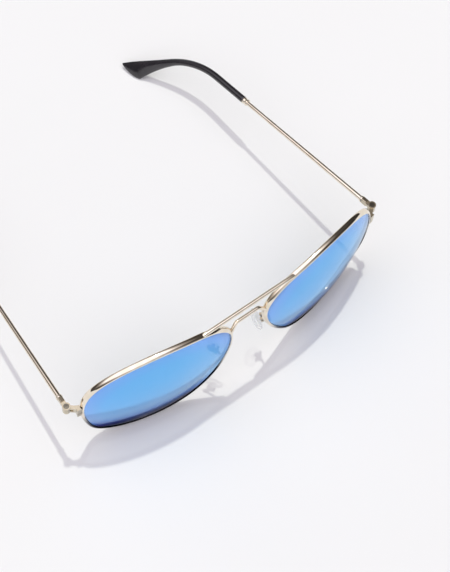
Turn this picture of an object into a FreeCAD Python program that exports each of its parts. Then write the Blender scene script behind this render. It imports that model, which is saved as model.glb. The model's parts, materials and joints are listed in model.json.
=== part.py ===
"""Aviator sunglasses: a metal front with two mirrored lenses, rocking nose pads and two folding temples.

The front faces -Y and +Z is up. The glasses stand open on a table, on the bottoms of the two rims and
on the ends of the two temple tips. The origin is the centre of the footprint, on the table. Every sub-part
is drawn for the wearer's left side, which is +X, and mirrored for the right side.
"""
import FreeCAD, Part
import math
import os

V = FreeCAD.Vector

# Lenses. Outline points run anticlockwise from the temple side, seen from the front, about the centre.
OUTLINE = [(28.5, 4.0), (25.8, 13.5), (19.4, 19.6), (9.6, 23.4), (-1.0, 24.5), (-12.0, 23.2),
           (-21.9, 19.6), (-28.0, 12.0), (-27.2, 2.6), (-23.0, -6.2), (-17.0, -14.6), (-8.6, -21.6),
           (2.4, -24.7), (14.0, -24.0), (22.6, -18.8), (26.9, -8.5)]
OFFSET_SAMPLES = 32
LENS_RADIUS = 85.0
LENS_THICKNESS = 1.6
LENS_X = 36.9
LENS_Z = 26.05
LENS_Y = -66.66
FACE_FORM = 10.0

# Rims: a grooved wire round each lens, slit at the temple side.
RIM_WIDTH = 1.1
RIM_PROUD = 0.4
RIM_BACK = 1.9
RIM_EDGE = 0.3
GROOVE_DEPTH = 0.45
GROOVE_FROM = 0.4
GROOVE_TO = 1.2
LENS_PLAY = 0.03
PRISM_FROM = -16.0
PRISM_TO = 4.0
SLIT_V = 3.0
SLIT_FROM_U = 20.0
SLIT = 0.15

# Brow bar and lower bridge, as distances from the lens plane and the table.
BAR_RADIUS = 0.8
BAR_HALF = 20.4
BAR_Y = 2.3
BAR_Z = 48.7
BAR_EDGE = 0.2
BRIDGE_RADIUS = 0.75
BRIDGE_HALF = 4.9
BRIDGE_Y = 2.3
BRIDGE_Z = 41.0
BRIDGE_FOOT = (9.4, 0.6, 36.8)
BRIDGE_BEND = 1.6

# Temple hinge: three knuckles on a vertical screw.
HINGE_X = 68.6
HINGE_Y = 13.9
HINGE_Z = 30.6
KNUCKLE_RADIUS = 1.5
BARREL_HEIGHT = 3.6
MIDDLE_HEIGHT = 1.2
KNUCKLE_GAP = 0.05
NOTCH_RADIUS = 2.6
SCREW_RADIUS = 0.7
PIN_PLAY = 0.04
HEAD_RADIUS = 1.05
HEAD_HEIGHT = 0.45
SLOT_WIDTH = 0.35
SLOT_DEPTH = 0.22

# End piece: a curved strip from the rim to the hinge, with a foot that takes the rim screw.
STRIP_START = (64.9, 11.1)
STRIP_MIDDLE = (66.85, 12.3)
STRIP_END = (68.5, 14.0)
STRIP_THICKNESS = 1.4
STRIP_HEIGHT = 3.0
FOOT_U = (29.2, 31.0)
FOOT_N = (-6.8, -4.9)
FOOT_TOP_V = 6.35
BLOCK_BOTTOM_V = 1.0
RIM_SCREW_UN = (30.15, -5.85)
RIM_SCREW_RADIUS = 0.5
RIM_HEAD_RADIUS = 0.75
RIM_HEAD_HEIGHT = 0.45
RIM_SCREW_REACH = 2.4

# Temples. Lengths are measured along the wire from the hinge axis.
SPLAY = 4.9
SLOPE = 7.3
LEAF_START = 2.4
LEAF_END = 4.6
LEAF_THICKNESS = 1.8
LEAF_HEIGHT = 2.6
LEAF_EDGE = 0.4
FERRULE_LENGTH = 0.9
FERRULE_RADIUS = 1.25
FERRULE_EDGE = 0.2
WIRE_FRONT_RADIUS = 0.95
WIRE_BACK_RADIUS = 0.8
COLLAR_START = 67.4
COLLAR_LENGTH = 2.2
COLLAR_RADIUS = 1.3
COLLAR_NECK = 1.08
BEND_START = 85.3
BEND_RADIUS = 34.5
BEND_ANGLE = 37.7
BEND_ROLL = 50.75
TIP_END = 22.9
CORE_RADIUS = 0.6
CORE_STOP = 16.0
TIP_RADIUS = 1.35
PADDLE_LENGTH = 30.5
PADDLE_CORNER = 7.0
PADDLE_DROP = 4.65
PADDLE_ROLL = 40.0
PADDLE_THIN = 1.05
PADDLE_CLOSING = 1.7
ROUND_MARGIN = 0.001
END_TOP = 1.0
END_BOTTOM = -0.3
END_THICKNESS = 0.4
TIP_STATIONS = (31.0, 27.5, 24.0, 20.5, 17.0, 13.5, 10.5, 8.2, 6.2, 4.2, 2.3, 0.9, 0.0)
SLEEVE_STATIONS = (0.0, 7.0, 14.0, 20.0, 25.0)

# Nose pads, placed by the pad's centre and the direction away from the nose.
PAD_CENTRE = (8.7, 5.9, 21.2)
PAD_BACK = (0.82, -0.45, 0.35)
PAD_LENGTH = 13.0
PAD_WIDTH = 7.4
PAD_THICKNESS = 2.0
PAD_CROWN = 0.4
PAD_EDGE = 0.7
PLATE_SIZE = (1.6, 3.6, 0.5)
PLATE_Z = 0.15
PIVOT_Z = 2.4
BOSS_RADIUS = 0.8
BOSS_WIDTH = 0.9
BOSS_PLAY = 0.06
BOX_SIZE = (2.7, 2.5, 1.75)
BOX_FRONT_Z = 1.8
PAD_SCREW_RADIUS = 0.4
PAD_HEAD_RADIUS = 0.7
PAD_HEAD_HEIGHT = 0.4
PAD_SLOT_WIDTH = 0.3
PAD_SLOT_FROM = 0.2
ARM_RADIUS = 0.45
ARM_ROUTE = [(11.1, 0.5, 24.2), (12.4, 5.4, 26.0), (14.2, 6.9, 23.6)]
ARM_BEND = 1.3
ARM_SEAT = 0.3


def rad(degrees):
    return math.radians(degrees)


def frame(origin, x_axis, y_axis):
    """Matrix of a local frame whose X and Y lie along the two directions."""
    x = V(*x_axis).normalize()
    z = x.cross(V(*y_axis)).normalize()
    y = z.cross(x)
    return FreeCAD.Matrix(x.x, y.x, z.x, origin[0], x.y, y.y, z.y, origin[1], x.z, y.z, z.z, origin[2])


def place(shape, matrix):
    return shape.transformed(matrix, copy=True)


def lens_frame():
    """Local X runs to the temple, Y up and Z forward, along the lens axis."""
    u = (math.cos(rad(FACE_FORM)), math.sin(rad(FACE_FORM)), 0)
    return frame((LENS_X, 0, LENS_Z), u, (0, 0, 1))


def temple_frame():
    """Local Y runs back along the wire from the hinge and X points outwards."""
    outward = (math.cos(rad(SPLAY)), math.sin(rad(SPLAY)), 0)
    flat = math.cos(rad(SLOPE))
    along = (-math.sin(rad(SPLAY)) * flat, math.cos(rad(SPLAY)) * flat, -math.sin(rad(SLOPE)))
    return frame((HINGE_X, HINGE_Y, HINGE_Z), outward, along)


def pad_frame():
    """Local Y runs up the pad and Z away from the nose."""
    back = V(*PAD_BACK).normalize()
    up = V(0, 0, 1) - back * back.z
    across = up.cross(back)
    return frame(PAD_CENTRE, tuple(across), tuple(up))


def largest(shape):
    """Biggest solid of a shape, without the crumbs that a cut leaves."""
    return max(shape.Solids, key=lambda solid: solid.Volume)


def box(x, y, z):
    """Box between pairs of limits."""
    return Part.makeBox(x[1] - x[0], y[1] - y[0], z[1] - z[0], V(x[0], y[0], z[0]))


def centred_box(size, z_from):
    x, y, z = size
    return box((-x / 2, x / 2), (-y / 2, y / 2), (z_from, z_from + z))


def tube(points, radius, bend):
    """Round bar along straight runs joined by tangent arcs of one radius."""
    points = [V(*p) for p in points]
    edges = []
    start = points[0]
    for before, corner, after in zip(points, points[1:], points[2:]):
        arrive = (corner - before).normalize()
        leave = (after - corner).normalize()
        turn = arrive.getAngle(leave)
        reach = bend * math.tan(turn / 2)
        first = corner - arrive * reach
        last = corner + leave * reach
        inward = (leave - arrive).normalize()
        middle = corner + inward * (bend / math.cos(turn / 2) - bend)
        edges.append(Part.LineSegment(start, first).toShape())
        edges.append(Part.Arc(first, middle, last).toShape())
        start = last
    edges.append(Part.LineSegment(start, points[-1]).toShape())
    path = Part.Wire(edges)
    circle = Part.makeCircle(radius, points[0], points[1] - points[0])
    return path.makePipeShell([Part.Wire(circle)], True, True)


def closed_spline(points):
    curve = Part.BSplineCurve()
    curve.interpolate(Points=points, PeriodicFlag=True)
    return curve


def outline(offset):
    """Lens outline, moved outwards by the offset."""
    base = closed_spline([V(u, v, 0) for u, v in OUTLINE])
    step = (base.LastParameter - base.FirstParameter) / OFFSET_SAMPLES
    points = []
    for i in range(OFFSET_SAMPLES):
        t = base.FirstParameter + i * step
        outward = base.tangent(t)[0].cross(V(0, 0, 1))
        points.append(base.value(t) + outward * offset)
    return closed_spline(points)


def prism(offset):
    """Prism over the outline, along the lens axis."""
    face = Part.Face(Part.Wire(outline(offset).toShape()))
    face.translate(V(0, 0, PRISM_FROM))
    return face.extrude(V(0, 0, PRISM_TO - PRISM_FROM))


def ball(depth):
    """Ball whose surface lies the given depth behind the front of the lens."""
    sphere = Part.makeSphere(LENS_RADIUS - depth)
    sphere.rotate(V(0, 0, 0), V(1, 0, 0), 90)
    sphere.translate(V(0, 0, -LENS_RADIUS))
    return sphere


def plate(offset, front, back):
    """Curved plate of the lens outline between two depths."""
    return prism(offset).common(ball(front)).cut(ball(back))


def lens():
    """Curved plate with a thin tongue round its edge that sits in the rim's groove."""
    body = plate(-LENS_PLAY, 0, LENS_THICKNESS)
    tongue = plate(GROOVE_DEPTH - LENS_PLAY, GROOVE_FROM + LENS_PLAY, GROOVE_TO - LENS_PLAY)
    return place(body.fuse(tongue).removeSplitter(), lens_frame())


def rim_bar():
    """Closed rim in the lens frame, before the groove and the slit."""
    ring = plate(RIM_WIDTH, -RIM_PROUD, RIM_BACK).cut(prism(0))
    return ring.makeFillet(RIM_EDGE, ring.Edges)


def rim():
    ring = rim_bar().cut(plate(GROOVE_DEPTH, GROOVE_FROM, GROOVE_TO))
    slit = box((SLIT_FROM_U, FOOT_U[1]), (SLIT_V - SLIT / 2, SLIT_V + SLIT / 2), (PRISM_FROM, PRISM_TO))
    return place(ring.cut(slit), lens_frame())


def brow_bar(rims):
    """Straight bar laid against the tops of both rims."""
    bar = Part.makeCylinder(BAR_RADIUS, 2 * BAR_HALF, V(-BAR_HALF, BAR_Y, BAR_Z), V(1, 0, 0))
    bar = bar.makeFillet(BAR_EDGE, [e for e in bar.Edges if e.Closed])
    return largest(bar.cut(rims))


def lower_bridge(rims):
    """Level bar between the rims, with a bent leg down to each."""
    x, y, z = BRIDGE_FOOT
    route = [(x, y, z), (BRIDGE_HALF, BRIDGE_Y, BRIDGE_Z), (-BRIDGE_HALF, BRIDGE_Y, BRIDGE_Z), (-x, y, z)]
    return largest(tube(route, BRIDGE_RADIUS, BRIDGE_BEND).cut(rims))


def on_hinge(radius, z_from, z_to):
    """Cylinder on the hinge axis, between heights above or below the hinge's middle."""
    return Part.makeCylinder(radius, z_to - z_from, V(HINGE_X, HINGE_Y, HINGE_Z + z_from))


def curved_strip(start, middle, end):
    """Face of constant thickness along the arc through three points."""
    arc = Part.Arc(start, middle, end).toShape().Curve
    sides = []
    for radius in (arc.Radius + STRIP_THICKNESS / 2, arc.Radius - STRIP_THICKNESS / 2):
        sides.append([arc.Center + (p - arc.Center).normalize() * radius for p in (start, middle, end)])
    outer, inner = sides
    edges = [Part.Arc(*outer).toShape(), Part.LineSegment(outer[2], inner[2]).toShape(),
             Part.Arc(*reversed(inner)).toShape(), Part.LineSegment(inner[0], outer[0]).toShape()]
    return Part.Face(Part.Wire(edges))


def end_piece(rim_shape):
    """Strip, foot and the two outer knuckles, in one piece."""
    stations = [V(x, y, HINGE_Z - STRIP_HEIGHT / 2) for x, y in (STRIP_START, STRIP_MIDDLE, STRIP_END)]
    strip = curved_strip(*stations).extrude(V(0, 0, STRIP_HEIGHT))
    foot = place(box(FOOT_U, (SLIT_V + SLIT / 2, FOOT_TOP_V), FOOT_N), lens_frame())
    half = BARREL_HEIGHT / 2
    piece = strip.fuse([foot, on_hinge(KNUCKLE_RADIUS, -half, half)])
    room = MIDDLE_HEIGHT / 2 + KNUCKLE_GAP
    notch = on_hinge(NOTCH_RADIUS, -room, room)
    bore = place(rim_screw_shank(), lens_frame())
    return largest(piece.cut([notch, screw_blank(), bore, rim_shape])).removeSplitter()


def screw_blank():
    """Shank and head of the hinge screw, before its slot."""
    half = BARREL_HEIGHT / 2
    shank = on_hinge(SCREW_RADIUS, -half, half - HEAD_HEIGHT)
    return shank.fuse(on_hinge(HEAD_RADIUS, half - HEAD_HEIGHT, half)).removeSplitter()


def hinge_screw():
    """Slotted screw that is the hinge's pin."""
    slot = centred_box((2 * KNUCKLE_RADIUS, SLOT_WIDTH, SLOT_DEPTH), BARREL_HEIGHT / 2 - SLOT_DEPTH)
    slot.translate(V(HINGE_X, HINGE_Y, HINGE_Z))
    return screw_blank().cut(slot)


def rim_screw_shank():
    u, n = RIM_SCREW_UN
    length = SLIT_V + RIM_SCREW_REACH - BLOCK_BOTTOM_V
    return Part.makeCylinder(RIM_SCREW_RADIUS, length, V(u, BLOCK_BOTTOM_V, n), V(0, 1, 0))


def closing_block(rim_shape):
    """Lower half of the rim's clamp, under the end piece's foot."""
    block = box(FOOT_U, (BLOCK_BOTTOM_V, SLIT_V - SLIT / 2), FOOT_N)
    block = place(block.cut(rim_screw_shank()), lens_frame())
    return block.cut(rim_shape)


def rim_screw():
    """Slotted screw from below that closes the rim on its lens."""
    u, n = RIM_SCREW_UN
    head = Part.makeCylinder(RIM_HEAD_RADIUS, RIM_HEAD_HEIGHT, V(u, BLOCK_BOTTOM_V, n), V(0, -1, 0))
    slot = box((-RIM_HEAD_RADIUS, RIM_HEAD_RADIUS), (0, SLOT_DEPTH), (-SLOT_WIDTH / 2, SLOT_WIDTH / 2))
    slot.translate(V(u, BLOCK_BOTTOM_V - RIM_HEAD_HEIGHT, n))
    return place(rim_screw_shank().fuse(head).cut(slot).removeSplitter(), lens_frame())


def temple_hinge():
    """Middle knuckle and the leaf that carries the temple wire."""
    half = MIDDLE_HEIGHT / 2
    thick = LEAF_THICKNESS / 2
    leaf = box((-thick, thick), (LEAF_START, LEAF_END), (-LEAF_HEIGHT / 2, LEAF_HEIGHT / 2))
    leaf = leaf.makeFillet(LEAF_EDGE, [e for e in leaf.Edges if abs(e.tangentAt(e.FirstParameter).y) > 0.9])
    web = box((-thick, thick), (0, LEAF_START + LEAF_EDGE), (-LEAF_HEIGHT / 2, LEAF_HEIGHT / 2))
    web = place(web, temple_frame()).common(on_hinge(LEAF_END, -half, half))
    hole = on_hinge(SCREW_RADIUS + PIN_PLAY, -half, half)
    solid = place(leaf, temple_frame()).fuse([web, on_hinge(KNUCKLE_RADIUS, -half, half)])
    return solid.cut(hole).removeSplitter()


def ring_on_wire(start, length, radius):
    return Part.makeCylinder(radius, length, V(0, start, 0), V(0, 1, 0))


def ferrule():
    """Plain ring between the leaf and the wire."""
    ring = ring_on_wire(LEAF_END, FERRULE_LENGTH, FERRULE_RADIUS)
    ring = ring.makeFillet(FERRULE_EDGE, ring.Edges)
    return place(ring.cut(ring_on_wire(LEAF_END, FERRULE_LENGTH, WIRE_FRONT_RADIUS)), temple_frame())


def collar():
    """Ring with a waist, where the wire enters the tip."""
    third = COLLAR_LENGTH / 3
    ring = ring_on_wire(COLLAR_START, third, COLLAR_RADIUS)
    neck = ring_on_wire(COLLAR_START + third, third, COLLAR_NECK)
    back = ring_on_wire(COLLAR_START + 2 * third, third, COLLAR_RADIUS)
    hole = ring_on_wire(COLLAR_START, COLLAR_LENGTH, WIRE_BACK_RADIUS)
    return place(ring.fuse([neck, back]).cut(hole).removeSplitter(), temple_frame())


def bend_direction():
    """Direction in which the wire bends, across the wire: down and towards the head."""
    return V(-math.sin(rad(BEND_ROLL)), 0, -math.cos(rad(BEND_ROLL)))


def path_at(s):
    """Point and direction of the temple's centre line, s mm from the hinge axis."""
    along = V(0, 1, 0)
    inward = bend_direction()
    angle = min(max((s - BEND_START) / BEND_RADIUS, 0), rad(BEND_ANGLE))
    straight = min(s, BEND_START)
    after = max(s - BEND_START - BEND_RADIUS * rad(BEND_ANGLE), 0)
    direction = along * math.cos(angle) + inward * math.sin(angle)
    bent = along * math.sin(angle) + inward * (1 - math.cos(angle))
    return along * straight + bent * BEND_RADIUS + direction * after, direction


def temple_length():
    return BEND_START + BEND_RADIUS * rad(BEND_ANGLE) + TIP_END


def core_wire(s_from):
    """Thin end of the wire, bent inside the tip."""
    stations = [s_from, BEND_START, BEND_START + BEND_RADIUS * rad(BEND_ANGLE), temple_length() - CORE_STOP]
    start, bend_from, bend_to, stop = [path_at(s)[0] for s in stations]
    middle = path_at((stations[1] + stations[2]) / 2)[0]
    edges = [Part.LineSegment(start, bend_from).toShape(), Part.Arc(bend_from, middle, bend_to).toShape(),
             Part.LineSegment(bend_to, stop).toShape()]
    circle = Part.makeCircle(CORE_RADIUS, start, V(0, 1, 0))
    return Part.Wire(edges).makePipeShell([Part.Wire(circle)], True, True)


def temple_wire():
    """Tapered wire from the leaf to the collar, and its core inside the tip."""
    end = COLLAR_START + COLLAR_LENGTH
    length = COLLAR_START - LEAF_END - FERRULE_LENGTH
    start = LEAF_END + FERRULE_LENGTH
    cone = Part.makeCone(WIRE_FRONT_RADIUS, WIRE_BACK_RADIUS, length, V(0, start, 0), V(0, 1, 0))
    stub = ring_on_wire(LEAF_END, FERRULE_LENGTH, WIRE_FRONT_RADIUS)
    seat = ring_on_wire(COLLAR_START, COLLAR_LENGTH, WIRE_BACK_RADIUS)
    return place(cone.fuse([stub, seat, core_wire(end)]).removeSplitter(), temple_frame())


def paddle_section(s):
    """Ellipse across the tip: round at first, then deeper and thinner towards the end."""
    point, direction = path_at(s)
    left = temple_length() - s
    share = min(max((PADDLE_LENGTH - left) / (PADDLE_LENGTH - PADDLE_CORNER), 0), 1)
    top = TIP_RADIUS
    bottom = TIP_RADIUS + PADDLE_DROP * share ** 2
    half_thickness = TIP_RADIUS + (PADDLE_THIN - TIP_RADIUS) * share
    if left < PADDLE_CORNER:
        closing = ((PADDLE_CORNER - left) / PADDLE_CORNER) ** PADDLE_CLOSING
        bottom = bottom + (END_BOTTOM - bottom) * closing
        top = top + (END_TOP - top) * closing
        half_thickness = half_thickness + (END_THICKNESS - half_thickness) * closing
    up = (V(0, 0, 1) - direction * direction.z).normalize()
    side = direction.cross(up)
    roll = rad(PADDLE_ROLL) * min(max((PADDLE_LENGTH - left) / PADDLE_LENGTH, 0), 1)
    lean = up * math.cos(roll) + side * math.sin(roll)
    across = direction.cross(lean)
    centre = point + lean * ((top - bottom) / 2)
    half_height = max((top + bottom) / 2, half_thickness + ROUND_MARGIN)
    ellipse = Part.Ellipse(centre + lean * half_height, centre + across * half_thickness, centre)
    return Part.Wire(ellipse.toShape())


def temple_tip():
    """Tip sleeve, which flattens and deepens to a paddle behind the ear."""
    start = COLLAR_START + COLLAR_LENGTH
    end = temple_length()
    stations = [start + s for s in SLEEVE_STATIONS] + [end - left for left in TIP_STATIONS]
    sleeve = Part.makeLoft([paddle_section(s) for s in stations], True, False)
    return place(sleeve.cut(core_wire(start)), temple_frame())


def pad_blank():
    """Oval pad, crowned towards the nose: a turned disc stretched along its length."""
    radius = PAD_WIDTH / 2
    half = PAD_THICKNESS / 2
    rim_at = radius - PAD_EDGE
    crown = Part.Arc(V(0, 0, -half), V(rim_at / 2, 0, -half + PAD_CROWN / 4), V(rim_at, 0, -half + PAD_CROWN))
    edge = Part.Arc(V(rim_at, 0, -half + PAD_CROWN), V(radius, 0, half - PAD_EDGE), V(rim_at, 0, half))
    back = Part.LineSegment(V(rim_at, 0, half), V(0, 0, half))
    axis = Part.LineSegment(V(0, 0, half), V(0, 0, -half))
    face = Part.Face(Part.Wire([c.toShape() for c in (crown, edge, back, axis)]))
    disc = face.revolve(V(0, 0, 0), V(0, 0, 1), 360)
    stretch = FreeCAD.Matrix()
    stretch.scale(1, PAD_LENGTH / PAD_WIDTH, 1)
    return disc.transformGeometry(stretch)


def on_pivot(radius):
    """Cylinder on the pad's rocking axis, as long as the pad box is wide."""
    half = BOX_SIZE[0] / 2
    return Part.makeCylinder(radius, 2 * half, V(-half, 0, PIVOT_Z), V(1, 0, 0))


def pad_insert_local():
    """Metal plate inside the pad, with the pierced boss behind it."""
    base = centred_box(PLATE_SIZE, PLATE_Z)
    neck = centred_box((BOSS_WIDTH, 2 * BOSS_RADIUS, PIVOT_Z - PLATE_Z), PLATE_Z)
    boss = Part.makeCylinder(BOSS_RADIUS, BOSS_WIDTH, V(-BOSS_WIDTH / 2, 0, PIVOT_Z), V(1, 0, 0))
    return base.fuse([neck, boss]).cut(on_pivot(PAD_SCREW_RADIUS + PIN_PLAY)).removeSplitter()


def pad_insert():
    return place(pad_insert_local(), pad_frame())


def nose_pad():
    return place(pad_blank().cut(pad_insert_local()), pad_frame())


def pad_box():
    """Open box on the arm; the pad's boss hangs between its cheeks."""
    body = centred_box(BOX_SIZE, BOX_FRONT_Z)
    slot_depth = PIVOT_Z + BOSS_RADIUS + BOSS_PLAY - BOX_FRONT_Z
    slot = centred_box((BOSS_WIDTH + 2 * BOSS_PLAY, BOX_SIZE[1], slot_depth), BOX_FRONT_Z)
    return place(body.cut([slot, on_pivot(PAD_SCREW_RADIUS)]), pad_frame())


def pad_screw():
    """Slotted screw on which the pad rocks."""
    half = BOX_SIZE[0] / 2
    head = Part.makeCylinder(PAD_HEAD_RADIUS, PAD_HEAD_HEIGHT, V(half, 0, PIVOT_Z), V(1, 0, 0))
    slot = box((half + PAD_SLOT_FROM, half + PAD_HEAD_HEIGHT), (-PAD_HEAD_RADIUS, PAD_HEAD_RADIUS),
               (PIVOT_Z - PAD_SLOT_WIDTH / 2, PIVOT_Z + PAD_SLOT_WIDTH / 2))
    return place(on_pivot(PAD_SCREW_RADIUS).fuse(head).cut(slot).removeSplitter(), pad_frame())


def pad_arm(rim_shape, lens_shape, box_shape):
    """Bent wire from the back of the rim to the pad box."""
    back = pad_frame().multVec(V(0, 0, BOX_FRONT_Z + BOX_SIZE[2] - ARM_SEAT))
    wire = tube(ARM_ROUTE + [tuple(back)], ARM_RADIUS, ARM_BEND)
    return largest(wire.cut([rim_shape, lens_shape, box_shape]))


def left_side():
    """Sub-parts of the wearer's left side."""
    rim_shape = rim()
    lens_shape = lens()
    box_shape = pad_box()
    return {
        "rim": rim_shape,
        "lens": lens_shape,
        "end_piece": end_piece(rim_shape),
        "closing_block": closing_block(rim_shape),
        "rim_screw": rim_screw(),
        "hinge_screw": hinge_screw(),
        "pad_arm": pad_arm(rim_shape, lens_shape, box_shape),
        "pad_box": box_shape,
        "pad_screw": pad_screw(),
        "nose_pad": nose_pad(),
        "pad_insert": pad_insert(),
        "temple_hinge": temple_hinge(),
        "ferrule": ferrule(),
        "temple_wire": temple_wire(),
        "collar": collar(),
        "temple_tip": temple_tip(),
    }


def assembly():
    """Every node by name, in its place."""
    left = left_side()
    right = {name: shape.mirror(V(0, 0, 0), V(1, 0, 0)) for name, shape in left.items()}
    nodes = {"left_" + name: shape for name, shape in left.items()}
    nodes.update({"right_" + name: shape for name, shape in right.items()})
    rims = [left["rim"], right["rim"]]
    nodes["brow_bar"] = brow_bar(rims)
    nodes["lower_bridge"] = lower_bridge(rims)
    for shape in nodes.values():
        shape.translate(V(0, LENS_Y, 0))
    return nodes


os.makedirs("parts", exist_ok=True)
for name, shape in assembly().items():
    shape.exportStep("parts/" + name + ".step")
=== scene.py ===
"""Looks of the aviator sunglasses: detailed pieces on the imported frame, a studio floor, light and camera."""
import json
import math

import bmesh
import bpy
import numpy as np
from mathutils import Matrix, Vector


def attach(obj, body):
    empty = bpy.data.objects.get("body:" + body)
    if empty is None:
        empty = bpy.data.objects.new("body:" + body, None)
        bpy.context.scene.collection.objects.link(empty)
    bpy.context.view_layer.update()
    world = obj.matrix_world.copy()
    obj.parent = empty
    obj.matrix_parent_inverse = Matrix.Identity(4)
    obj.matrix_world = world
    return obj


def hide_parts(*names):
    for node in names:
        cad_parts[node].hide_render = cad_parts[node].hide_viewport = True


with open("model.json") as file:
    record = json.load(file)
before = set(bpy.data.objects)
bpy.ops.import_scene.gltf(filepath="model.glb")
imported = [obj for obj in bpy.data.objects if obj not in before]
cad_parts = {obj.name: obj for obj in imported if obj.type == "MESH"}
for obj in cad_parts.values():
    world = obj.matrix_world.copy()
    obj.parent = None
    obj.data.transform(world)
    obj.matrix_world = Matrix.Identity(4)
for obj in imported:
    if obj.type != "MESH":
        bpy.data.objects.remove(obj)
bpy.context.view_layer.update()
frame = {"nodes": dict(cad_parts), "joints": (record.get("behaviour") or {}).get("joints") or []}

MM = 0.001
JOINTS = {joint["name"]: joint for joint in frame["joints"]}
HINGE = np.array(JOINTS["left_temple_fold"]["pos_m"])

# Lenses and rims, in mm. Depths count backwards from the front of the lens, offsets outwards from its edge.
OUTLINE = [(28.5, 4.0), (25.8, 13.5), (19.4, 19.6), (9.6, 23.4), (-1.0, 24.5), (-12.0, 23.2),
           (-21.9, 19.6), (-28.0, 12.0), (-27.2, 2.6), (-23.0, -6.2), (-17.0, -14.6), (-8.6, -21.6),
           (2.4, -24.7), (14.0, -24.0), (22.6, -18.8), (26.9, -8.5)]
LENS_X = 36.9
LENS_Z = 26.05
LENS_RADIUS = 85.0
LENS_THICKNESS = 1.6
LENS_FRONT = 0.01
LENS_BEVEL = 0.09
FACE_FORM = math.radians(10.0)
FRONT_TO_HINGE = 13.9
SLIT_V = 3.0
SLIT = 0.15
SLIT_SEARCH = 4000
AROUND = 256
LENS_RINGS = 28
LENS_EDGE = [(-0.03, 0.06), (-0.03, 0.40), (0.38, 0.42), (0.38, 0.96), (-0.03, 0.98), (-0.03, 1.40)]
RIM_PROFILE = [(0.00, -0.10), (0.03, -0.24), (0.11, -0.34), (0.24, -0.37), (0.48, -0.37),
               (0.58, -0.33), (0.72, -0.20), (0.86, -0.06), (0.98, 0.09), (1.05, 0.22),
               (1.08, 0.42), (1.09, 0.75), (1.08, 1.02), (1.03, 1.20), (0.93, 1.36),
               (0.78, 1.51), (0.60, 1.65), (0.44, 1.74), (0.28, 1.78), (0.14, 1.74),
               (0.04, 1.62), (0.00, 1.20), (0.42, 1.04), (0.42, 0.36), (0.00, 0.28)]

# Bridges, in mm from the lens plane and the table.
BAR_HALF = 20.34
BAR_RADIUS = 0.8
BAR_Y = 2.3
BAR_Z = 48.7
BAR_STATIONS = 9
BAR_SEGMENTS = 40
BRIDGE_ROUTE = [(8.2, 1.05, 37.9), (4.9, 2.3, 41.0), (-4.9, 2.3, 41.0), (-8.2, 1.05, 37.9)]
BRIDGE_RADIUS = 0.75
BRIDGE_BEND = 1.6
ARM_RADIUS = 0.45
ARM_BEND = 1.3
ARM_SEGMENTS = 24
ARM_ROUTE = [(11.2, 1.0, 24.22), (12.4, 5.4, 26.0), (14.2, 6.9, 23.6), (11.4, 4.45, 22.35)]

# Nose pads: their centre, the direction away from the nose, and half sizes across, up and through.
# The profile runs from the nose's side to the back, as shares of the outline and of the thickness.
PAD_CENTRE = (8.7, 5.9, 21.2)
PAD_BACK = (0.82, -0.45, 0.35)
PAD_HALF = (3.441, 6.5, 1.0)
PAD_TAPER = 0.14
PAD_PROFILE = [(0.25, -0.97), (0.5, -0.88), (0.7, -0.72), (0.84, -0.5), (0.94, -0.2), (0.985, 0.15),
               (0.985, 0.5), (0.94, 0.78), (0.86, 0.93), (0.74, 1.0), (0.45, 0.98), (0.2, 0.96)]
PAD_SEGMENTS = 56

# Temples, in mm: stations of (distance from the hinge axis, radius) for the turned parts.
SPLAY = math.radians(4.9)
SLOPE = math.radians(7.3)
FERRULE = [(4.6, 1.02), (4.62, 1.16), (4.72, 1.24), (4.9, 1.25),
           (5.2, 1.25), (5.38, 1.24), (5.48, 1.16), (5.5, 0.96)]
WIRE = [(4.62, 0.9), (5.5, 0.95), (20.0, 0.915), (40.0, 0.87), (67.4, 0.80), (69.5, 0.80)]
COLLAR = [(67.4, 0.82), (67.42, 1.18), (67.5, 1.27), (67.65, 1.30), (67.95, 1.30),
          (68.08, 1.26), (68.16, 1.12), (68.3, 1.06), (68.7, 1.06), (68.84, 1.12),
          (68.92, 1.26), (69.05, 1.30), (69.45, 1.30), (69.58, 1.26)]
TURNED_SEGMENTS = 48
TIP_START = 69.6
BEND_START = 85.3
BEND_RADIUS = 34.5
BEND_ANGLE = math.radians(37.7)
BEND_ROLL = math.radians(50.75)
TIP_END = 22.9
TIP_RADIUS = 1.35
PADDLE_LENGTH = 30.5
PADDLE_CORNER = 7.0
PADDLE_DROP = 4.65
PADDLE_ROLL = math.radians(40.0)
PADDLE_THIN = 1.05
PADDLE_CLOSING = 1.7
END_TOP = 1.0
END_BOTTOM = -0.3
END_THICKNESS = 0.4
# Rings of the tip: (distance, inset) at each end, and (first, last, count) for the runs between.
TIP_MOUTH = [(0.0, 0.30), (0.02, 0.12), (0.12, 0.03)]
TIP_RUN = (0.3, 7.5, 70)
TIP_CLOSING = (7.2, 0.25, 30)
TIP_POINT = [(0.12, 0.06), (0.03, 0.16), (0.0, 0.28)]

# Meshes.
SHARP_ANGLE = math.radians(40)
WELD = 1e-7
DOME_RINGS = 6
DOME = 0.35
ROUND_DOME = 1.0
OFF_AXIS = (0.31, 0.17, 0.93)
FLAT_ANGLE = math.radians(2)
EASE_WIDTH = 0.09
EASE_ANGLE = math.radians(38)
EASE_SEGMENTS = 2

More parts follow.
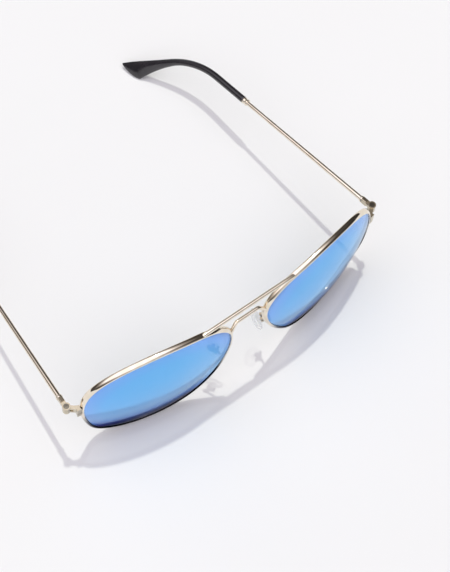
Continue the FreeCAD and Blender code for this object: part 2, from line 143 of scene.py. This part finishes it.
# Camera and light. The fill stands in front and behind, so the lenses don't mirror a dark horizon.
VIEW_AZIMUTH = math.radians(-45.1)
VIEW_ELEVATION = math.radians(63.1)
VIEW_ROLL = math.radians(8.6)
VIEW_DISTANCE = 0.5928
VIEW_TARGET = (15.3, 30.45, 0.0)
FOCAL_LENGTH = 97.91
SENSOR_WIDTH = 36
CLIP = (0.01, 20)
LIGHT_FROM = Vector((0.164, 0.222, 1.0))
SUN_STRENGTH = 1.0
SUN_COLOUR = (0.97, 1.0, 0.90)
SUN_ANGLE = math.radians(1.6)
SKY_CENTRE = Vector((-0.33, -0.12, 0.93))
SKY_TONES = [(0.0, (0.028, 0.025, 0.024)), (0.48, (0.05, 0.045, 0.045)), (0.64, (0.24, 0.22, 0.22)),
             (0.80, (0.90, 0.87, 0.93)), (1.0, (0.95, 0.92, 1.0))]
SKY_STRENGTH = 1.6
FILL_CENTRE = Vector((0.0, -1.0, 0.0))
FILL_TONES = [(0.74, (0.0, 0.0, 0.0)), (0.94, (0.34, 0.35, 0.37))]
FLOOR_SIZE = 40.0

# Plating: the two ends of its colour drift, and its roughness.
GOLD = ((0.80, 0.71, 0.57), (0.90, 0.82, 0.70), (0.05, 0.11))
# A darker copy of the gold, as painted shade on the hinge pieces.
HINGE_GOLD_SHADED = ((0.50, 0.44, 0.32), (0.62, 0.55, 0.42), (0.04, 0.07))
# Steel darkened nearly to black, as painted shade in the screws' recesses.
SCREW_STEEL_SHADED = ((0.10, 0.09, 0.08), (0.18, 0.16, 0.13), (0.09, 0.14))
# Painted shade colour along the lower front of the rims.
RIM_PAINTED_SHADE = (0.02, 0.018, 0.025)

# Colour drift of the other materials.
TINT_TONES = [(0.3, (0.035, 0.04, 0.05)), (0.7, (0.05, 0.055, 0.065))]
ACETATE_TONES = [(0.35, (0.010, 0.009, 0.012)), (0.7, (0.022, 0.019, 0.024))]
SILICONE_TONES = [(0.3, (0.86, 0.87, 0.88)), (0.7, (0.94, 0.95, 0.95))]
FLOOR_TONES = [(0.3, (0.855, 0.858, 0.855)), (0.7, (0.865, 0.868, 0.865))]

# Colours of the mirror against its tone: centre, edge, then painted shade in navy along the bottom, in place
# of the dark reflection there.
MIRROR_TONES = [(0.0, (0.0, 0.46, 1.0)), (0.35, (0.0, 0.44, 1.0)), (0.6, (0.06, 0.36, 1.0)),
                (0.75, (0.04, 0.17, 0.52)), (1.0, (0.012, 0.05, 0.22))]
# Reflection tint, painted darker towards the bottom of the lens as painted shade in the reflection.
MIRROR_REFLECTION_SHADE = [(0.0, (0.8, 0.92, 1.0)), (0.5, (0.3, 0.45, 0.8)), (1.0, (0.03, 0.07, 0.20))]

# Where the tones and the painted shade lie, in mm: how far below the lens' centre each starts, and over what
# height it grows.
MIRROR_HALF = (29.0, 25.0)
MIRROR_EDGE = 0.6
# Painted shade band at the bottom of the lenses.
PAINTED_SHADE_BAND = (14.0, 6.0)
# Where the lens' reflection is painted darker towards its bottom.
REFLECTION_SHADE = (6.0, 9.0)
# Painted shade on the rims' lower front.
RIM_SHADE = (1.0, 6.0)
RIM_SHADE_DEPTH = (0.9, 0.4)


def unit(vector):
    vector = np.array(vector, float)
    return vector / np.linalg.norm(vector)


def on_front(points):
    """Points in mm from the lens plane and the table, as metres in the row frame."""
    points = np.array(points, float)
    return points * MM + np.array((0, HINGE[1] - FRONT_TO_HINGE * MM, 0))


def outline(count, start_v=None):
    """Points and outward normals on the periodic cubic through the lens outline, in mm."""
    knots = np.array(OUTLINE)
    size = len(knots)
    following = np.roll(knots, -1, 0)
    step = np.linalg.norm(following - knots, axis=1)
    before = np.roll(step, 1)
    rows = np.arange(size)
    matrix = np.zeros((size, size))
    matrix[rows, rows] = 2 * (before + step)
    matrix[rows, (rows + 1) % size] = step
    matrix[rows, (rows - 1) % size] = before
    slope = (following - knots) / step[:, None]
    bend = np.linalg.solve(matrix, 6 * (slope - np.roll(slope, 1, 0)))
    starts = np.concatenate([[0], np.cumsum(step)])

    def at(t):
        t = t % starts[-1]
        i = np.searchsorted(starts, t, side="right") - 1
        j = (i + 1) % size
        h = step[i][:, None]
        a = t[:, None] - starts[i][:, None]
        b = h - a
        first = knots[i] / h - bend[i] * h / 6
        last = knots[j] / h - bend[j] * h / 6
        point = (bend[i] * b ** 3 + bend[j] * a ** 3) / (6 * h) + first * b + last * a
        along = (bend[j] * a ** 2 - bend[i] * b ** 2) / (2 * h) - first + last
        along /= np.linalg.norm(along, axis=1)[:, None]
        return point, np.stack([along[:, 1], -along[:, 0]], 1)

    if start_v is None:
        return at(np.linspace(0, starts[-1], count, endpoint=False))
    near = np.linspace(starts[-1] - step[-1], starts[-1] + step[0] / 2, SLIT_SEARCH)
    slit = near[np.argmin(abs(at(near)[0][:, 1] - start_v))]
    return at(slit + np.linspace(SLIT / 2, starts[-1] - SLIT / 2, count))


def on_lens(uv, depth):
    """Points on the lens' sphere, a depth behind its front, as metres in the row frame."""
    n = np.sqrt((LENS_RADIUS - depth) ** 2 - (uv ** 2).sum(-1)) - LENS_RADIUS
    across = np.array((math.cos(FACE_FORM), math.sin(FACE_FORM), 0))
    forward = np.array((math.sin(FACE_FORM), -math.cos(FACE_FORM), 0))
    centre = np.array((LENS_X, 0, LENS_Z))
    points = centre + uv[..., :1] * across + uv[..., 1:] * np.array((0, 0, 1)) + n[..., None] * forward
    return on_front(points)


def rings_mesh(rings, caps=True):
    """Vertices and faces of a skin over rings of points."""
    rings = np.array(rings)
    count, size = rings.shape[:2]
    faces = []
    for i in range(count - 1):
        a, b = i * size, (i + 1) * size
        faces += [(a + j, a + (j + 1) % size, b + (j + 1) % size, b + j) for j in range(size)]
    if caps:
        faces.append(tuple(reversed(range(size))))
        faces.append(tuple(range((count - 1) * size, count * size)))
    return rings.reshape(-1, 3), faces


def make_piece(name, skins, body, nodes, materials):
    """One smooth mesh object on a body, from skins of (vertices, faces, material index)."""
    mesh = bpy.data.meshes.new(name)
    bm = bmesh.new()
    for vertices, faces, index in skins:
        corners = [bm.verts.new(v) for v in vertices]
        for face in faces:
            made = bm.faces.new([corners[i] for i in face])
            made.material_index = index
    bmesh.ops.remove_doubles(bm, verts=bm.verts, dist=WELD)
    bmesh.ops.recalc_face_normals(bm, faces=bm.faces)
    for face in bm.faces:
        face.smooth = True
    for edge in bm.edges:
        if len(edge.link_faces) == 2 and edge.calc_face_angle() > SHARP_ANGLE:
            edge.smooth = False
    bm.to_mesh(mesh)
    bm.free()
    piece = bpy.data.objects.new(name, mesh)
    bpy.context.collection.objects.link(piece)
    for material in materials:
        mesh.materials.append(material)
    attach(piece, body)
    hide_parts(*nodes)
    return piece


def mirrored(skins):
    flip = np.array((-1, 1, 1))
    return [(np.array(vertices) * flip, faces, index) for vertices, faces, index in skins]


def both_sides(kind, skins, body, materials):
    """The piece on the wearer's left and its mirror image on the right, in place of the CAD nodes."""
    for side, shapes in (("left", skins), ("right", mirrored(skins))):
        node = side + "_" + kind
        make_piece(node + "_look", shapes, body.format(side), [node], materials)


def rim_skin():
    """Rounded wire round the lens, open at the slit, with the groove that holds the lens."""
    points, normals = outline(AROUND, SLIT_V)
    profile = [on_lens(points + normals * offset, depth) for offset, depth in RIM_PROFILE]
    return rings_mesh(np.stack(profile, 1))


def lens_skins():
    """Mirrored front, then the edge and the back."""
    points, normals = outline(AROUND)
    front = [on_lens(points * share, LENS_FRONT) for share in np.linspace(0, 1, LENS_RINGS + 1)[1:]]
    inner = points - normals * LENS_BEVEL
    front[-1] = on_lens(inner, LENS_FRONT)
    back = [on_lens(points * share, LENS_THICKNESS) for share in np.linspace(0, 1, LENS_RINGS + 1)[1:]]
    back[-1] = on_lens(inner, LENS_THICKNESS)
    edge = [on_lens(points + normals * offset, depth) for offset, depth in LENS_EDGE]
    skins = []
    for rings, depth, index in ((front, LENS_FRONT, 0), (back, LENS_THICKNESS, 1)):
        vertices, faces = rings_mesh(rings, caps=False)
        centre = len(vertices)
        vertices = np.vstack([vertices, on_lens(np.zeros((1, 2)), depth)])
        faces += [(centre, j, (j + 1) % AROUND) for j in range(AROUND)]
        skins.append((vertices, faces, index))
    skins.append((*rings_mesh([front[-1], *edge, back[-1]], caps=False), 1))
    return skins


def rounded_route(corners, bend, samples=9):
    """Points along straight runs joined by tangent arcs."""
    corners = np.array(corners, float)
    path = [corners[0]]
    for before, corner, after in zip(corners, corners[1:], corners[2:]):
        arrive, leave = unit(corner - before), unit(after - corner)
        turn = math.acos(np.clip(arrive @ leave, -1, 1))
        first = corner - arrive * bend * math.tan(turn / 2)
        centre = corner + unit(leave - arrive) * bend / math.cos(turn / 2)
        for angle in np.linspace(0, turn, samples):
            path.append(centre + (first - centre) * math.cos(angle) + arrive * bend * math.sin(angle))
    path.append(corners[-1])
    return np.array(path)


def tube_skin(path, radius, segments, dome=DOME):
    """Round bar along a path in metres, with domed ends."""
    path = np.array(path)
    along = np.gradient(path, axis=0)
    along /= np.linalg.norm(along, axis=1)[:, None]
    side = unit(np.cross(along[0], OFF_AXIS))
    turns = np.linspace(0, 2 * math.pi, segments, endpoint=False)
    rings = []

    def ring(centre, direction, size):
        up = np.cross(direction, side)
        return [centre + size * (side * math.cos(t) + up * math.sin(t)) for t in turns]

    def dome_ring(end, inward, direction, t):
        centre = end + inward * radius * dome * (1 - math.cos(t))
        return ring(centre, direction, radius * math.sin(t))

    steps = np.linspace(0, math.pi / 2, DOME_RINGS)[1:]
    for t in steps:
        rings.append(dome_ring(path[0], along[0], along[0], t))
    for centre, direction in zip(path[1:-1], along[1:-1]):
        side = unit(side - direction * (side @ direction))
        rings.append(ring(centre, direction, radius))
    side = unit(side - along[-1] * (side @ along[-1]))
    for t in steps[::-1]:
        rings.append(dome_ring(path[-1], -along[-1], along[-1], t))
    return rings_mesh(rings)


def temple_axes():
    """Outward, along the wire and up, for the open left temple."""
    outward = np.array((math.cos(SPLAY), math.sin(SPLAY), 0))
    flat = math.cos(SLOPE)
    along = np.array((-math.sin(SPLAY) * flat, math.cos(SPLAY) * flat, -math.sin(SLOPE)))
    return outward, along, np.cross(outward, along)


def on_temple(points):
    """Points in mm in the temple's own frame, as metres in the row frame."""
    return np.array(points) @ np.array(temple_axes()) * MM + HINGE


def turned_skin(stations):
    """Turned part on the temple's axis, from stations of (distance, radius)."""
    turns = np.linspace(0, 2 * math.pi, TURNED_SEGMENTS, endpoint=False)
    rings = [[(radius * math.cos(t), s, radius * math.sin(t)) for t in turns] for s, radius in stations]
    return rings_mesh(on_temple(rings))


def path_at(s):
    """Point and direction of the temple's centre line, s mm from the hinge axis, in the temple's frame."""
    along = np.array((0, 1, 0))
    inward = np.array((-math.sin(BEND_ROLL), 0, -math.cos(BEND_ROLL)))
    angle = min(max((s - BEND_START) / BEND_RADIUS, 0), BEND_ANGLE)
    after = max(s - BEND_START - BEND_RADIUS * BEND_ANGLE, 0)
    direction = along * math.cos(angle) + inward * math.sin(angle)
    bent = along * math.sin(angle) + inward * (1 - math.cos(angle))
    return along * min(s, BEND_START) + bent * BEND_RADIUS + direction * after, direction


def tip_section(s, length, inset):
    """Oval ring across the tip: round at first, then deeper and thinner towards the end."""
    point, direction = path_at(s)
    left = length - s
    share = min(max((PADDLE_LENGTH - left) / (PADDLE_LENGTH - PADDLE_CORNER), 0), 1)
    top = TIP_RADIUS
    bottom = TIP_RADIUS + PADDLE_DROP * share ** 2
    thick = TIP_RADIUS + (PADDLE_THIN - TIP_RADIUS) * share
    if left < PADDLE_CORNER:
        closing = ((PADDLE_CORNER - left) / PADDLE_CORNER) ** PADDLE_CLOSING
        bottom += (END_BOTTOM - bottom) * closing
        top += (END_TOP - top) * closing
        thick += (END_THICKNESS - thick) * closing
    up = unit(np.array((0, 0, 1)) - direction * direction[2])
    side = np.cross(direction, up)
    roll = PADDLE_ROLL * min(max((PADDLE_LENGTH - left) / PADDLE_LENGTH, 0), 1)
    lean = up * math.cos(roll) + side * math.sin(roll)
    across = np.cross(direction, lean)
    centre = point + lean * (top - bottom) / 2
    high = (top + bottom) / 2 - inset
    wide = thick - inset
    turns = np.linspace(0, 2 * math.pi, TURNED_SEGMENTS, endpoint=False)
    return [centre + lean * high * math.cos(t) + across * wide * math.sin(t) for t in turns]


def tip_skin():
    """Black tip, from its mouth at the collar to its rounded point."""
    length = BEND_START + BEND_RADIUS * BEND_ANGLE + TIP_END
    first, last, count = TIP_RUN
    stations = [(TIP_START + s, inset) for s, inset in TIP_MOUTH]
    stations += [(s, 0.0) for s in np.linspace(TIP_START + first, length - last, count)]
    stations += [(length - left, 0.0) for left in np.linspace(*TIP_CLOSING)]
    stations += [(length - left, inset) for left, inset in TIP_POINT]
    return rings_mesh(on_temple([tip_section(s, length, inset) for s, inset in stations]))


def pad_axes():
    """Across, up and away from the nose, for the wearer's left pad."""
    back = unit(PAD_BACK)
    up = unit(np.array((0, 0, 1)) - back * back[2])
    return np.cross(up, back), up, back


def pad_skin():
    """Soft oval pad, crowned towards the nose and a little narrower at the top."""
    turns = np.linspace(0, 2 * math.pi, PAD_SEGMENTS, endpoint=False)
    rings = []
    for share, height in PAD_PROFILE:
        y = share * np.sin(turns)
        x = share * np.cos(turns) * (1 - PAD_TAPER * y)
        rings.append(np.stack([x, y, np.full(PAD_SEGMENTS, height)], 1) * np.array(PAD_HALF))
    vertices, faces = rings_mesh(rings)
    return on_front(vertices @ np.array(pad_axes()) + np.array(PAD_CENTRE)), faces


def new_material(name):
    material = bpy.data.materials.new(name)
    material.use_nodes = True
    return material, material.node_tree, material.node_tree.nodes["Principled BSDF"]


def noise(tree, scale, detail=2.0, stretch=(1, 1, 1)):
    """Noise in the object's own coordinates; the scale is in features per metre."""
    place = tree.nodes.new("ShaderNodeTexCoord")
    mapping = tree.nodes.new("ShaderNodeMapping")
    mapping.inputs["Scale"].default_value = stretch
    texture = tree.nodes.new("ShaderNodeTexNoise")
    texture.inputs["Scale"].default_value = scale
    texture.inputs["Detail"].default_value = detail
    tree.links.new(place.outputs["Object"], mapping.inputs["Vector"])
    tree.links.new(mapping.outputs["Vector"], texture.inputs["Vector"])
    return texture.outputs["Fac"]


def ramp(tree, factor, stops):
    """Colour ramp over the factor, from stops of (position, colour)."""
    node = tree.nodes.new("ShaderNodeValToRGB")
    elements = node.color_ramp.elements
    while len(elements) < len(stops):
        elements.new(0.5)
    for element, (position, colour) in zip(elements, stops):
        element.position = position
        element.color = (*colour, 1)
    tree.links.new(factor, node.inputs["Fac"])
    return node.outputs["Color"]


def between(tree, factor, start, end):
    """The factor mapped linearly from the start pair to the end pair, and held beyond them."""
    node = tree.nodes.new("ShaderNodeMapRange")
    node.inputs["From Min"].default_value = start[0]
    node.inputs["From Max"].default_value = start[1]
    node.inputs["To Min"].default_value = end[0]
    node.inputs["To Max"].default_value = end[1]
    tree.links.new(factor, node.inputs["Value"])
    return node.outputs["Result"]


def spread(tree, factor, low, high):
    """The middle range of a noise, mapped to low and high."""
    return between(tree, factor, (0.3, 0.7), (low, high))


def bump(tree, shader, factor, height_mm, strength=1.0):
    node = tree.nodes.new("ShaderNodeBump")
    node.inputs["Strength"].default_value = strength
    node.inputs["Distance"].default_value = height_mm * MM
    tree.links.new(factor, node.inputs["Height"])
    tree.links.new(node.outputs["Normal"], shader.inputs["Normal"])


def shaded(tree, colour, shade_colour):
    """The colour, going over to a painted shade colour where the mesh's own tone attribute rises."""
    tone = tree.nodes.new("ShaderNodeAttribute")
    tone.attribute_name = "tone"
    mix = tree.nodes.new("ShaderNodeMix")
    mix.data_type = "RGBA"
    mix.inputs["B"].default_value = (*shade_colour, 1)
    tree.links.new(tone.outputs["Fac"], mix.inputs["Factor"])
    tree.links.new(colour, mix.inputs["A"])
    return mix.outputs["Result"]


def metal(name, look, shade_colour=None):
    """Polished plating: slight colour drift, uneven gloss and fine polishing marks; with a shade colour,
    painted shade where the mesh's tone attribute rises.
    """
    low, high, rough = look
    material, tree, shader = new_material(name)
    shader.inputs["Metallic"].default_value = 1.0
    colour = ramp(tree, noise(tree, 260, 3), [(0.35, low), (0.65, high)])
    if shade_colour:
        colour = shaded(tree, colour, shade_colour)
    tree.links.new(colour, shader.inputs["Base Color"])
    tree.links.new(spread(tree, noise(tree, 900, 4), *rough), shader.inputs["Roughness"])
    bump(tree, shader, noise(tree, 3000, 2, (1, 0.25, 1)), 0.003, 0.2)
    return material


def mirror_front():
    """Blue flash mirror: brightest in the middle, periwinkle at the edge, with painted shade in navy along the
    bottom and its reflection painted darker there.
    """
    material, tree, shader = new_material("blue_mirror_painted_shade")
    shader.inputs["Metallic"].default_value = 1.0
    tone = tree.nodes.new("ShaderNodeAttribute")
    tone.attribute_name = "tone"
    colour = ramp(tree, tone.outputs["Fac"], MIRROR_TONES)
    tree.links.new(colour, shader.inputs["Base Color"])
    # The reflection is painted darker towards the bottom, through its tint and a thinner coat.
    reflection_shade = tree.nodes.new("ShaderNodeAttribute")
    reflection_shade.attribute_name = "reflection_shade"
    tree.links.new(ramp(tree, reflection_shade.outputs["Fac"], MIRROR_REFLECTION_SHADE), shader.inputs["Specular Tint"])
    tree.links.new(spread(tree, noise(tree, 60, 3), 0.02, 0.05), shader.inputs["Roughness"])
    # The painted shade band at the bottom is also more opaque.
    tree.links.new(between(tree, tone.outputs["Fac"], (0.6, 0.85), (0.78, 0.92)), shader.inputs["Alpha"])
    tree.links.new(between(tree, reflection_shade.outputs["Fac"], (0.0, 1.0), (0.6, 0.1)), shader.inputs["Coat Weight"])
    shader.inputs["Coat Roughness"].default_value = 0.02
    return material


def lens_tint():
    """Grey tint of the lens, seen from behind and at its edge."""
    material, tree, shader = new_material("lens_tint")
    colour = ramp(tree, noise(tree, 80, 2), TINT_TONES)
    tree.links.new(colour, shader.inputs["Base Color"])
    tree.links.new(spread(tree, noise(tree, 60, 3), 0.03, 0.07), shader.inputs["Roughness"])
    shader.inputs["Alpha"].default_value = 0.3
    return material


def black_acetate():
    """Polished black acetate with a faint depth of colour and buffing haze."""
    material, tree, shader = new_material("black_acetate")
    colour = ramp(tree, noise(tree, 180, 4), ACETATE_TONES)
    tree.links.new(colour, shader.inputs["Base Color"])
    tree.links.new(spread(tree, noise(tree, 500, 4), 0.16, 0.26), shader.inputs["Roughness"])
    shader.inputs["Coat Weight"].default_value = 0.4
    shader.inputs["Coat Roughness"].default_value = 0.06
    bump(tree, shader, noise(tree, 1600, 3), 0.006, 0.2)
    return material


def clear_silicone():
    """Clear pad: almost unseen face on, milky where it is seen edge on."""
    material, tree, shader = new_material("clear_silicone")
    colour = ramp(tree, noise(tree, 300, 3), SILICONE_TONES)
    tree.links.new(colour, shader.inputs["Base Color"])
    tree.links.new(spread(tree, noise(tree, 700, 3), 0.10, 0.2), shader.inputs["Roughness"])
    facing = tree.nodes.new("ShaderNodeLayerWeight")
    facing.inputs["Blend"].default_value = 0.5
    haze = between(tree, facing.outputs["Facing"], (0.6, 0.95), (0.03, 0.75))
    tree.links.new(haze, shader.inputs["Alpha"])
    return material


def paint_cad(kinds, material):
    """Keeps CAD nodes of these kinds, with eased edges and the material."""
    for side in ("left_", "right_"):
        for kind in kinds:
            node = frame["nodes"][side + kind]
            node.data.materials.clear()
            node.data.materials.append(material)
            flat = node.modifiers.new("flat", "DECIMATE")
            flat.decimate_type = "DISSOLVE"
            flat.angle_limit = FLAT_ANGLE
            ease = node.modifiers.new("ease", "BEVEL")
            ease.width = EASE_WIDTH * MM
            ease.segments = EASE_SEGMENTS
            ease.limit_method = "ANGLE"
            ease.angle_limit = EASE_ANGLE
            ease.harden_normals = True


def floor():
    bpy.ops.mesh.primitive_plane_add(size=FLOOR_SIZE)
    plane = bpy.context.object
    plane.name = "floor"
    material, tree, shader = new_material("pale_floor")
    colour = ramp(tree, noise(tree, 8, 2), FLOOR_TONES)
    tree.links.new(colour, shader.inputs["Base Color"])
    shader.inputs["Roughness"].default_value = 0.9
    shader.inputs["Specular IOR Level"].default_value = 0.1
    plane.data.materials.append(material)


def along_direction(tree, place, direction):
    """How far the sky's own direction points along the given one, from -1 to 1."""
    node = tree.nodes.new("ShaderNodeVectorMath")
    node.operation = "DOT_PRODUCT"
    node.inputs[1].default_value = direction
    tree.links.new(place.outputs["Generated"], node.inputs[0])
    return node.outputs["Value"]


def studio_light():
    """Soft overhead dome, dim fills in front and behind, and a harder key from above and behind."""
    world = bpy.data.worlds.new("studio")
    bpy.context.scene.world = world
    world.use_nodes = True
    tree = world.node_tree
    background = tree.nodes["Background"]
    place = tree.nodes.new("ShaderNodeTexCoord")
    dome = ramp(tree, along_direction(tree, place, SKY_CENTRE.normalized()), SKY_TONES)
    either_way = tree.nodes.new("ShaderNodeMath")
    either_way.operation = "ABSOLUTE"
    tree.links.new(along_direction(tree, place, FILL_CENTRE), either_way.inputs[0])
    fill = ramp(tree, either_way.outputs["Value"], FILL_TONES)
    sky = tree.nodes.new("ShaderNodeVectorMath")
    sky.operation = "ADD"
    tree.links.new(dome, sky.inputs[0])
    tree.links.new(fill, sky.inputs[1])
    tree.links.new(sky.outputs["Vector"], background.inputs["Color"])
    background.inputs["Strength"].default_value = SKY_STRENGTH
    lamp = bpy.data.lights.new("key", "SUN")
    lamp.energy = SUN_STRENGTH
    lamp.color = SUN_COLOUR
    lamp.angle = SUN_ANGLE
    key = bpy.data.objects.new("key", lamp)
    key.rotation_mode = "QUATERNION"
    key.rotation_quaternion = LIGHT_FROM.to_track_quat("Z", "Y")
    bpy.context.collection.objects.link(key)


def camera():
    """The camera of the reference view, aimed at a point on the floor."""
    back = Vector((math.sin(VIEW_AZIMUTH) * math.cos(VIEW_ELEVATION),
                   -math.cos(VIEW_AZIMUTH) * math.cos(VIEW_ELEVATION), math.sin(VIEW_ELEVATION)))
    level = Vector((math.cos(VIEW_AZIMUTH), math.sin(VIEW_AZIMUTH), 0))
    upright = back.cross(level)
    right = level * math.cos(VIEW_ROLL) + upright * math.sin(VIEW_ROLL)
    up = upright * math.cos(VIEW_ROLL) - level * math.sin(VIEW_ROLL)
    data = bpy.data.cameras.new("camera")
    data.lens = FOCAL_LENGTH
    data.sensor_width = SENSOR_WIDTH
    data.clip_start, data.clip_end = CLIP
    eye = bpy.data.objects.new("camera", data)
    place = Vector(on_front(VIEW_TARGET)) + back * VIEW_DISTANCE
    eye.matrix_world = Matrix.Translation(place) @ Matrix((right, up, back)).transposed().to_4x4()
    bpy.context.collection.objects.link(eye)
    bpy.context.scene.camera = eye


def lens_place(mesh):
    """Each vertex' across, up and depth in its lens' own frame, in mm."""
    points = np.array([v.co for v in mesh.vertices]) - np.array(on_front((0, 0, 0)))
    points = np.abs(points / MM * (1, 0, 0)) + points / MM * (0, 1, 1)
    across = np.array((math.cos(FACE_FORM), math.sin(FACE_FORM), 0))
    forward = np.array((math.sin(FACE_FORM), -math.cos(FACE_FORM), 0))
    centre = np.array((LENS_X, 0, LENS_Z))
    middle = centre - LENS_RADIUS * forward
    depth = LENS_RADIUS - np.linalg.norm(points - middle, axis=1)
    return (points - centre) @ across, points[:, 2] - LENS_Z, depth


def set_tone(name, attribute, tone):
    """Stores a value per vertex for the material; tone takes across, up and depth in the lens' frame."""
    for side in ("left_", "right_"):
        mesh = bpy.data.objects[side + name].data
        values = np.clip(tone(*lens_place(mesh)), 0, 1).astype(np.float32)
        mesh.attributes.new(attribute, "FLOAT", "POINT").data.foreach_set("value", values)


def below(up, reach):
    """0 above a height under the lens' centre, growing to 1 over the height below it."""
    start, height = reach
    return np.clip((-up - start) / height, 0, 1)


# Tint of the coating towards the edge, with painted shade along the bottom of the lens.
def mirror_edge_and_shade(across, up, depth):
    edge = MIRROR_EDGE * np.hypot(across / MIRROR_HALF[0], up / MIRROR_HALF[1]) ** 2
    return edge + (1 - edge) * below(up, PAINTED_SHADE_BAND)


# Painted shade in the lens' reflection, growing towards its bottom.
def mirror_reflection_shade(across, up, depth):
    return below(up, REFLECTION_SHADE)


# Painted shade on the lower front of the rims.
def rim_painted_shade(across, up, depth):
    ends, blend = RIM_SHADE_DEPTH
    return below(up, RIM_SHADE) * np.clip((ends - depth) / blend, 0, 1)


gold = metal("champagne_gold", GOLD)
# The rims' copy of the plating carries painted shade on their lower front.
rim_gold_with_shade = metal("champagne_gold_rim_painted_shade", GOLD, RIM_PAINTED_SHADE)
# Darker copy of the plating, as painted shade on the hinge pieces.
shaded_hinge_gold = metal("champagne_gold_hinge_painted_shade", HINGE_GOLD_SHADED)
# Near black steel, as painted shade in the screws' recesses.
screw = metal("screw_steel_painted_shade", SCREW_STEEL_SHADED)
black = black_acetate()
clear = clear_silicone()

both_sides("rim", [(*rim_skin(), 0)], "front", [rim_gold_with_shade])
both_sides("lens", lens_skins(), "front", [mirror_front(), lens_tint()])
# Painted shade along the rims' lower front, as a vertex attribute.
set_tone("rim_look", "tone", rim_painted_shade)
# Painted shade along the bottom of the lenses, as a vertex attribute.
set_tone("lens_look", "tone", mirror_edge_and_shade)
# Painted darkening of the lenses' reflection towards their bottom, as a vertex attribute.
set_tone("lens_look", "reflection_shade", mirror_reflection_shade)
bar = on_front([(x, BAR_Y, BAR_Z) for x in np.linspace(-BAR_HALF, BAR_HALF, BAR_STATIONS)])
make_piece("brow_bar_look", [(*tube_skin(bar, BAR_RADIUS * MM, BAR_SEGMENTS, ROUND_DOME), 0)],
           "front", ["brow_bar"], [gold])
bridge = on_front(rounded_route(BRIDGE_ROUTE, BRIDGE_BEND))
make_piece("lower_bridge_look", [(*tube_skin(bridge, BRIDGE_RADIUS * MM, BAR_SEGMENTS), 0)],
           "front", ["lower_bridge"], [gold])
arm = on_front(rounded_route(ARM_ROUTE, ARM_BEND))
both_sides("pad_arm", [(*tube_skin(arm, ARM_RADIUS * MM, ARM_SEGMENTS), 0)],
           "front", [gold])
both_sides("nose_pad", [(*pad_skin(), 0)], "{}_pad", [clear])
both_sides("ferrule", [(*turned_skin(FERRULE), 0)], "{}_temple", [gold])
both_sides("temple_wire", [(*turned_skin(WIRE), 0)], "{}_temple", [gold])
both_sides("collar", [(*turned_skin(COLLAR), 0)], "{}_temple", [gold])
both_sides("temple_tip", [(*tip_skin(), 0)], "{}_temple", [black])
# The hinge pieces take the darker copy of the plating, as painted shade.
paint_cad(("end_piece", "closing_block", "pad_box", "temple_hinge"), shaded_hinge_gold)
# The screws take the near black steel, as painted shade in their recesses.
paint_cad(("hinge_screw", "rim_screw", "pad_screw"), screw)
paint_cad(("pad_insert",), clear)
floor()
studio_light()
camera()
bpy.context.scene.view_settings.view_transform = "Standard"
